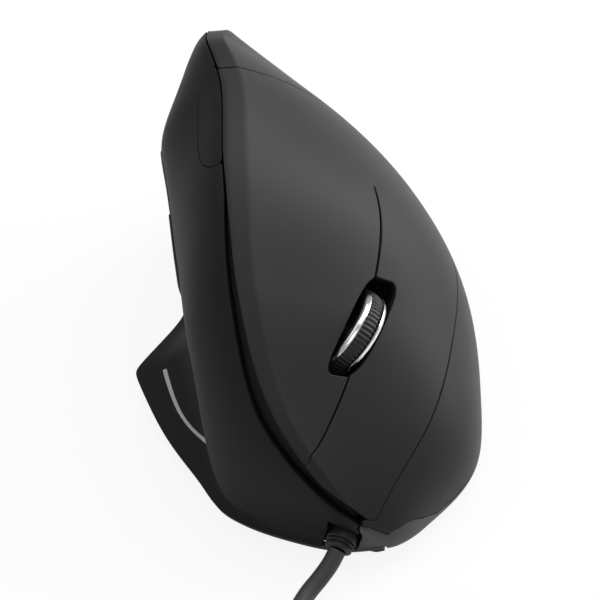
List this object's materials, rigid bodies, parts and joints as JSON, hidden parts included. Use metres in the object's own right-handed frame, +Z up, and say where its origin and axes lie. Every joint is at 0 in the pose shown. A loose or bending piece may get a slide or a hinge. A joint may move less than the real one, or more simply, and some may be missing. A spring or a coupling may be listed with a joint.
{
  "type": "vertical computer mouse",
  "caption": "Upright ergonomic computer mouse for the left hand, with finger keys, a scroll wheel, side buttons over a thumb rest, and a cable in a tied coil that ends in a plug.",
  "frame": {"origin": "on the surface that the mouse stands on, halfway between nose and tail, on the line that the reaches to the two sides are measured from", "axes": "+Z up, +Y from the nose with the cable to the tail, +X from the thumb side to the finger side"},
  "size_m": [0.0818, 0.2718, 0.0746],
  "materials": {
    "soft_black": "soft matt coating",
    "base_black": "fine moulded matt",
    "foot": "smooth low-friction",
    "strip_grey": "smooth",
    "tyre_rubber": "ribbed",
    "bright_ring": "polished plating",
    "steel": "plain",
    "board_green": "lacquered board",
    "part_dark": "moulded",
    "part_pale": "moulded",
    "lens_clear": "clear",
    "lamp_red": "clear tinted",
    "cable_grey": "soft matt sheath",
    "tie_black": "matt strap"
  },
  "bodies": {
    "case": {"base_plate": "base_black", "feet": "foot", "base_screws": "steel", "thumb_shell": "soft_black", "palm_shell": "soft_black", "finger_panel": "soft_black", "spine_frame": "base_black", "thumb_strip": "strip_grey", "button_frame": "base_black", "button_board": "board_green", "index_switch": "part_dark", "middle_switch": "part_dark", "wheel_switch": "part_dark", "side_board": "board_green", "forward_switch": "part_dark", "back_switch": "part_dark", "dpi_board": "board_green", "dpi_switch": "part_dark", "main_board": "board_green", "board_screws": "steel", "optical_sensor": "part_dark", "sensor_lens": "lens_clear", "sensor_led": "lamp_red", "controller_chip": "part_dark", "cable_socket": "part_pale", "inner_lead": "cable_grey", "cable_boot": "cable_grey", "cable_run": "cable_grey", "cable_coil": "cable_grey", "cable_tail": "cable_grey", "coil_tie": "tie_black", "plug_grip": "base_black", "plug_shell": "steel", "plug_tongue": "part_pale"},
    "index_key": {"index_key": "soft_black"},
    "middle_key": {"middle_key": "soft_black"},
    "index_plunger": {"index_plunger": "part_pale"},
    "middle_plunger": {"middle_plunger": "part_pale"},
    "wheel_carrier": {"wheel_yoke": "base_black", "wheel_encoder": "part_dark", "wheel_plunger": "part_pale"},
    "wheel": {"wheel_hub": "base_black", "wheel_tyre": "tyre_rubber", "wheel_rings": "bright_ring", "wheel_axle": "steel"},
    "forward_button": {"forward_button": "soft_black", "forward_plunger": "part_pale"},
    "back_button": {"back_button": "soft_black", "back_plunger": "part_pale"},
    "dpi_button": {"dpi_button": "soft_black", "dpi_plunger": "part_pale"}
  },
  "joints": [
    {"name": "index_key_press", "type": "hinge", "parent": "case", "child": "index_key", "pos_m": [0.01035, 0.014, 0.05027], "axis": [0.737, 0, -0.6759], "range_deg": [0, 0.4], "stiffness_Nm_per_rad": 0.08, "springref_deg": -1.15},
    {"name": "middle_key_press", "type": "hinge", "parent": "case", "child": "middle_key", "pos_m": [0.01035, 0.014, 0.05027], "axis": [0.737, 0, -0.6759], "range_deg": [0, 0.4], "stiffness_Nm_per_rad": 0.08, "springref_deg": -1.15},
    {"name": "index_plunger_slide", "type": "slide", "parent": "case", "child": "index_plunger", "axis": [-0.3856, 0.5028, -0.7736], "range_m": [0, 0.000218]},
    {"name": "middle_plunger_slide", "type": "slide", "parent": "case", "child": "middle_plunger", "axis": [-0.3856, 0.5028, -0.7736], "range_m": [0, 0.000226]},
    {"name": "wheel_press", "type": "slide", "parent": "case", "child": "wheel_carrier", "axis": [-0.3856, 0.5028, -0.7736], "range_m": [0, 0.0005], "stiffness_N_per_m": 800, "springref_m": -0.0008},
    {"name": "wheel_spin", "type": "hinge", "parent": "wheel_carrier", "child": "wheel", "pos_m": [0.00693, -0.02247, 0.03771], "axis": [0.7408, -0.3312, -0.5845], "continuous": true},
    {"name": "forward_button_press", "type": "slide", "parent": "case", "child": "forward_button", "axis": [1, 0, 0], "range_m": [0, 0.0006], "stiffness_N_per_m": 500, "springref_m": -0.0008},
    {"name": "back_button_press", "type": "slide", "parent": "case", "child": "back_button", "axis": [1, 0, 0], "range_m": [0, 0.0006], "stiffness_N_per_m": 500, "springref_m": -0.0008},
    {"name": "dpi_button_press", "type": "slide", "parent": "case", "child": "dpi_button", "axis": [0.6691, 0, -0.7431], "range_m": [0, 0.0005], "stiffness_N_per_m": 500, "springref_m": -0.0008}
  ],
  "couplings": [
    {"joint": "index_plunger_slide", "follows": "index_key_press", "m_per_rad": 0.030679},
    {"joint": "middle_plunger_slide", "follows": "middle_key_press", "m_per_rad": 0.031798}
  ]
}
